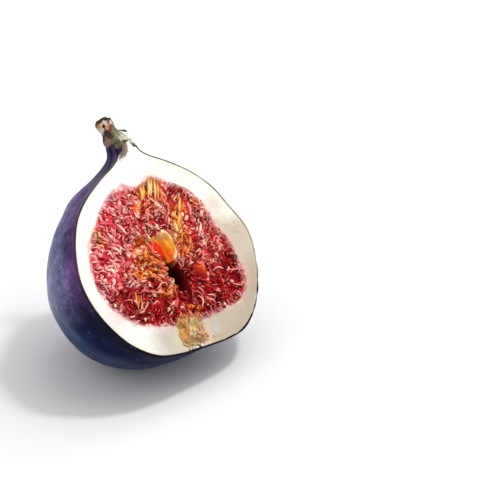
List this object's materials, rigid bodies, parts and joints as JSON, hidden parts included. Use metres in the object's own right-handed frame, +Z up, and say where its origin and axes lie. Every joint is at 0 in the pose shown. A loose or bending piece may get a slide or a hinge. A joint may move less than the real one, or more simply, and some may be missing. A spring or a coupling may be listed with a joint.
{
  "type": "halved fresh fig",
  "caption": "Half of a ripe purple fig cut lengthwise, with its stem, showing white flesh and red pulp, resting on the back of its skin.",
  "frame": {"origin": "on the resting surface, under the middle of the half's box", "axes": "+Z up; the cut face looks towards -Y and 41 degrees up; the stem points up and towards +Y, rolled 11 degrees towards +X"},
  "size_m": [0.0502, 0.0428, 0.0481],
  "materials": {
    "skin": "satin",
    "flesh": "satin",
    "pulp_florets": "gloss",
    "heart_florets": "gloss",
    "eye_bracts": "matte",
    "stem": "matte"
  },
  "bodies": {
    "root": {"skin": "skin", "flesh": "flesh", "pulp_florets": "pulp_florets", "heart_florets": "heart_florets", "eye_bracts": "eye_bracts", "stem": "stem"}
  },
  "joints": []
}
